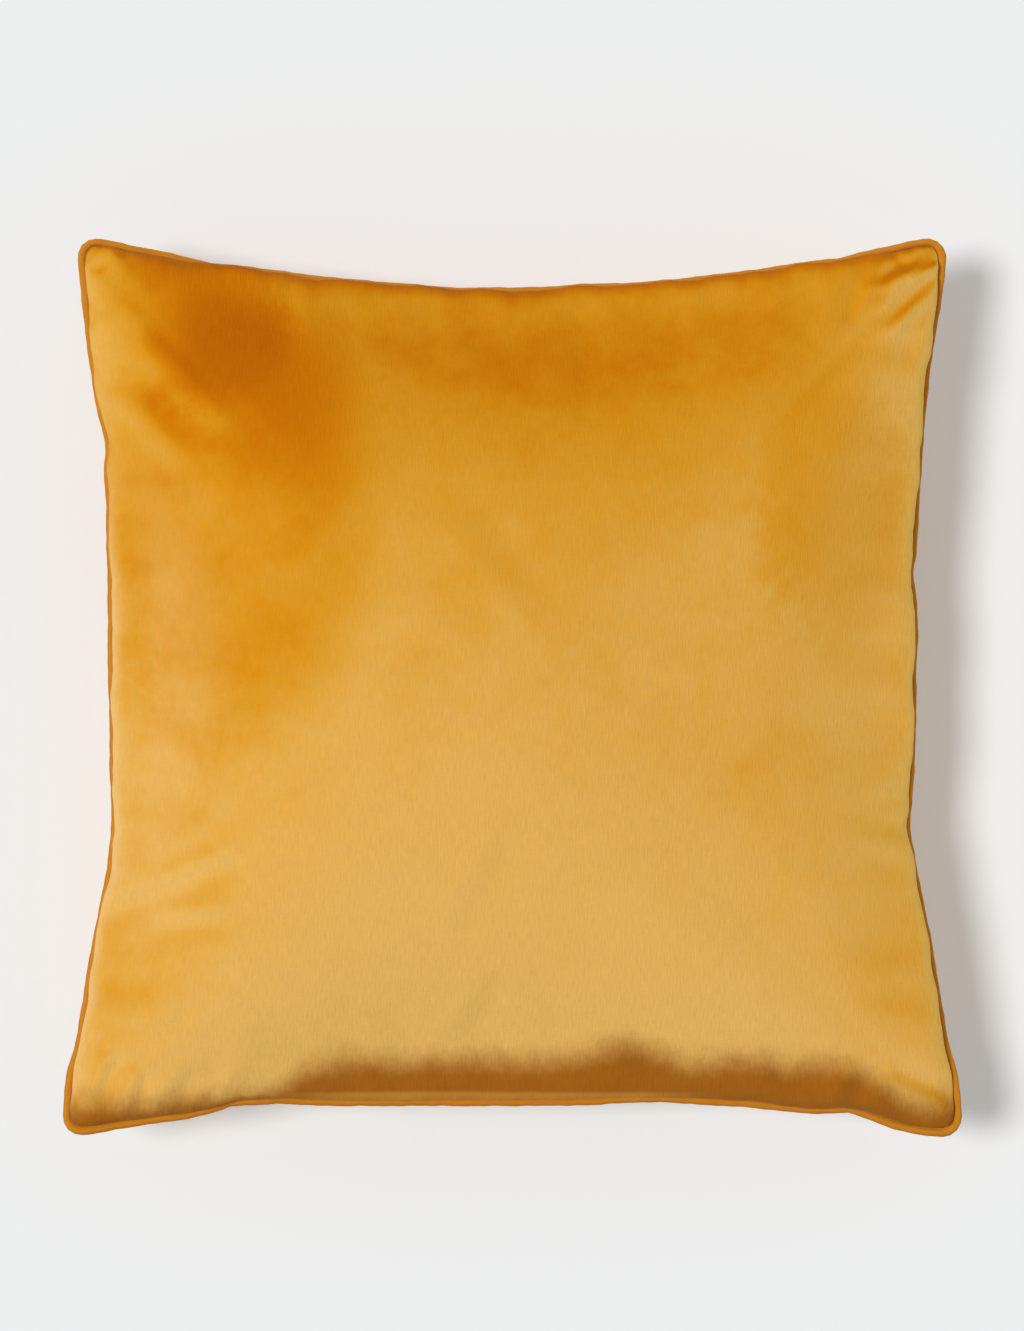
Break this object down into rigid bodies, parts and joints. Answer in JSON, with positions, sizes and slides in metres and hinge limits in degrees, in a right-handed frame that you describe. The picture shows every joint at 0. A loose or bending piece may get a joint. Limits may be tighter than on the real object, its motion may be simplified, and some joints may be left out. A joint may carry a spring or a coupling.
{
  "type": "throw cushion",
  "caption": "Square piped velvet throw cushion: a zipped cover with corded edges round a plump inner pad, lying on its back.",
  "frame": {"origin": "under the middle of the outline, on the surface that the cushion's back lies on", "axes": "+X along the bottom seam to the right of the front, +Y up the front, +Z out of the front"},
  "size_m": [0.4916, 0.4907, 0.16],
  "materials": {
    "velvet": "matte",
    "velvet_piping": "matte",
    "cotton_cord": "matte",
    "cambric": "matte",
    "fibre": "matte",
    "zip_tape": "matte",
    "zip_coil": "satin",
    "zip_metal": "satin",
    "thread": "matte",
    "label": "satin"
  },
  "bodies": {
    "cushion": {"front_panel": "velvet", "back_panel": "velvet", "piping_sleeve": "velvet_piping", "piping_cord": "cotton_cord", "zip_tape_front": "zip_tape", "zip_tape_back": "zip_tape", "zip_coil_front": "zip_coil", "zip_coil_back": "zip_coil", "zip_bottom_stop": "zip_metal", "zip_top_stop_front": "zip_metal", "zip_top_stop_back": "zip_metal", "care_label": "label", "pad_casing_front": "cambric", "pad_casing_back": "cambric", "pad_filling": "fibre", "pad_seam_thread": "cambric", "seam_thread_front": "thread", "seam_thread_back": "thread", "zip_thread_front": "thread", "zip_thread_back": "thread"},
    "slider": {"zip_slider": "zip_metal"},
    "pull": {"zip_pull": "zip_metal"}
  },
  "joints": [
    {"name": "slider_slide", "type": "slide", "parent": "cushion", "child": "slider", "axis": [-1, 0, 0], "range_m": [0, 0.2837]},
    {"name": "pull_swing", "type": "hinge", "parent": "slider", "child": "pull", "pos_m": [0.15685, -0.22386, 0.06558], "axis": [0, -0.6157, 0.788], "range_deg": [0, 180]}
  ]
}
